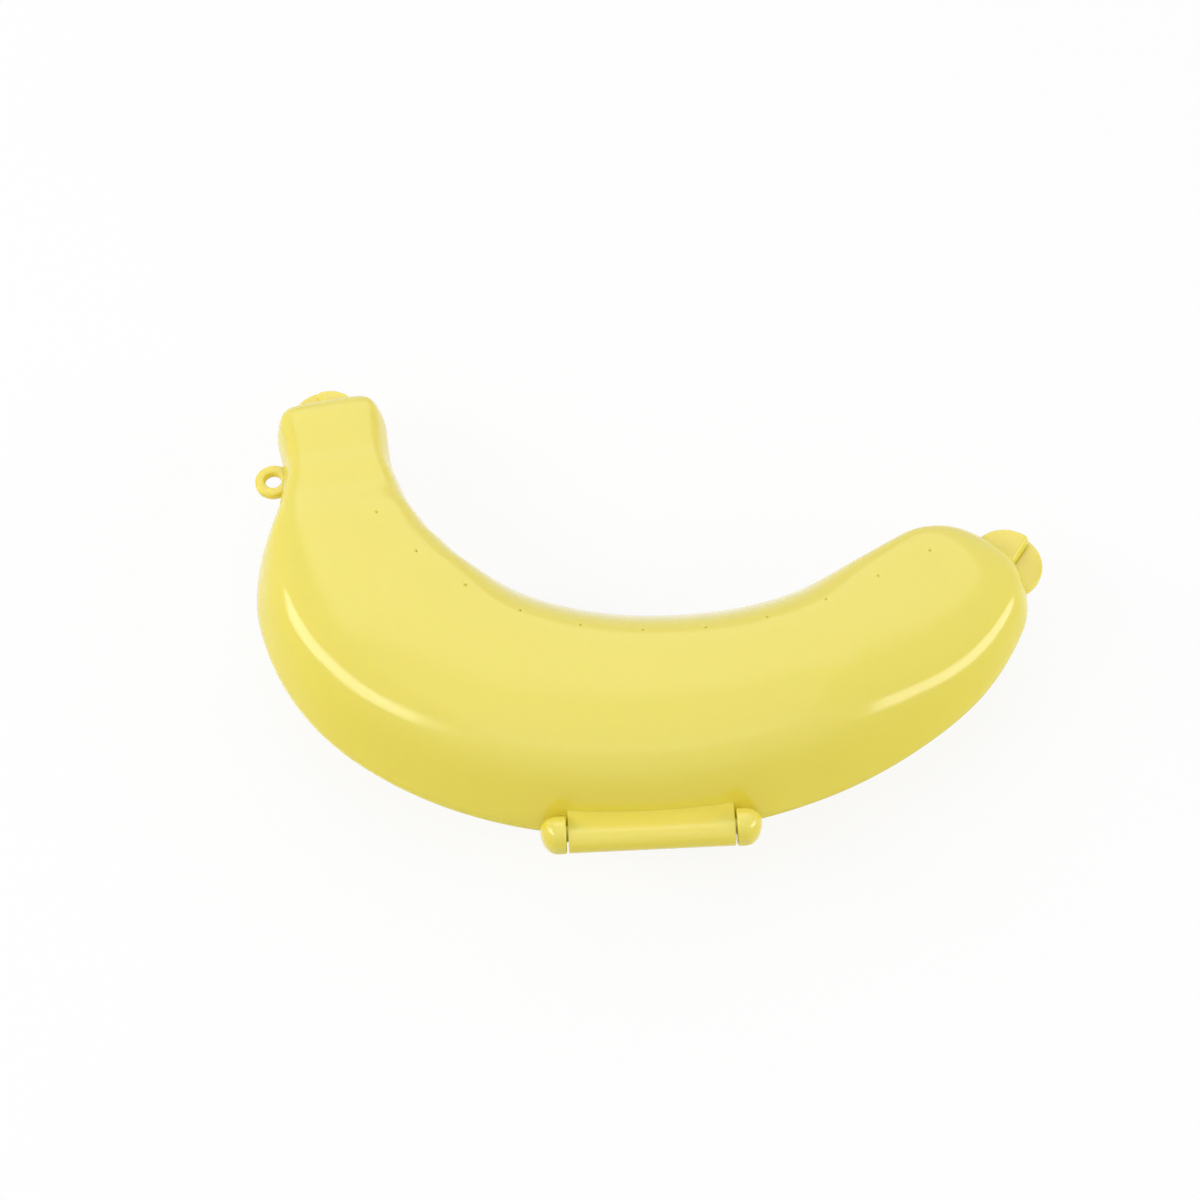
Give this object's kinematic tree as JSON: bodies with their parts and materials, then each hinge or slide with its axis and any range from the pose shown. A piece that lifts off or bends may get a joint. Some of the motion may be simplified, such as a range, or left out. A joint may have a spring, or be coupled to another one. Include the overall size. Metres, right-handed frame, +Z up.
{
  "type": "banana carrying case",
  "caption": "Curved two-half plastic case that closes round a banana, with a side hinge, vent holes, split finger tabs at both ends and a lanyard ring.",
  "frame": {"origin": "on the flat land under the lower crown, at the hinge station of the case's middle line", "axes": "+Z up from the rest face, +X along the hinge towards the tip, +Y towards the inner (concave) side"},
  "size_m": [0.2019, 0.1391, 0.0396],
  "materials": {
    "case_plastic": "semi-gloss pale yellow moulded plastic, slightly translucent"
  },
  "bodies": {
    "lower_half": {"lower_shell": "case_plastic", "lower_neck": "case_plastic", "knuckle_left": "case_plastic", "knuckle_right": "case_plastic", "pin_left": "case_plastic", "pin_right": "case_plastic", "lower_tip_tab": "case_plastic", "lower_stem_tab": "case_plastic", "lanyard_ring": "case_plastic"},
    "upper_half": {"upper_shell": "case_plastic", "upper_neck": "case_plastic", "hinge_barrel": "case_plastic", "upper_tip_tab": "case_plastic", "upper_stem_tab": "case_plastic"}
  },
  "joints": [
    {"name": "lid_hinge", "type": "hinge", "parent": "lower_half", "child": "upper_half", "pos_m": [-0.003, -0.03185, 0.0247], "axis": [1, 0, 0], "range_deg": [0, 180]}
  ]
}
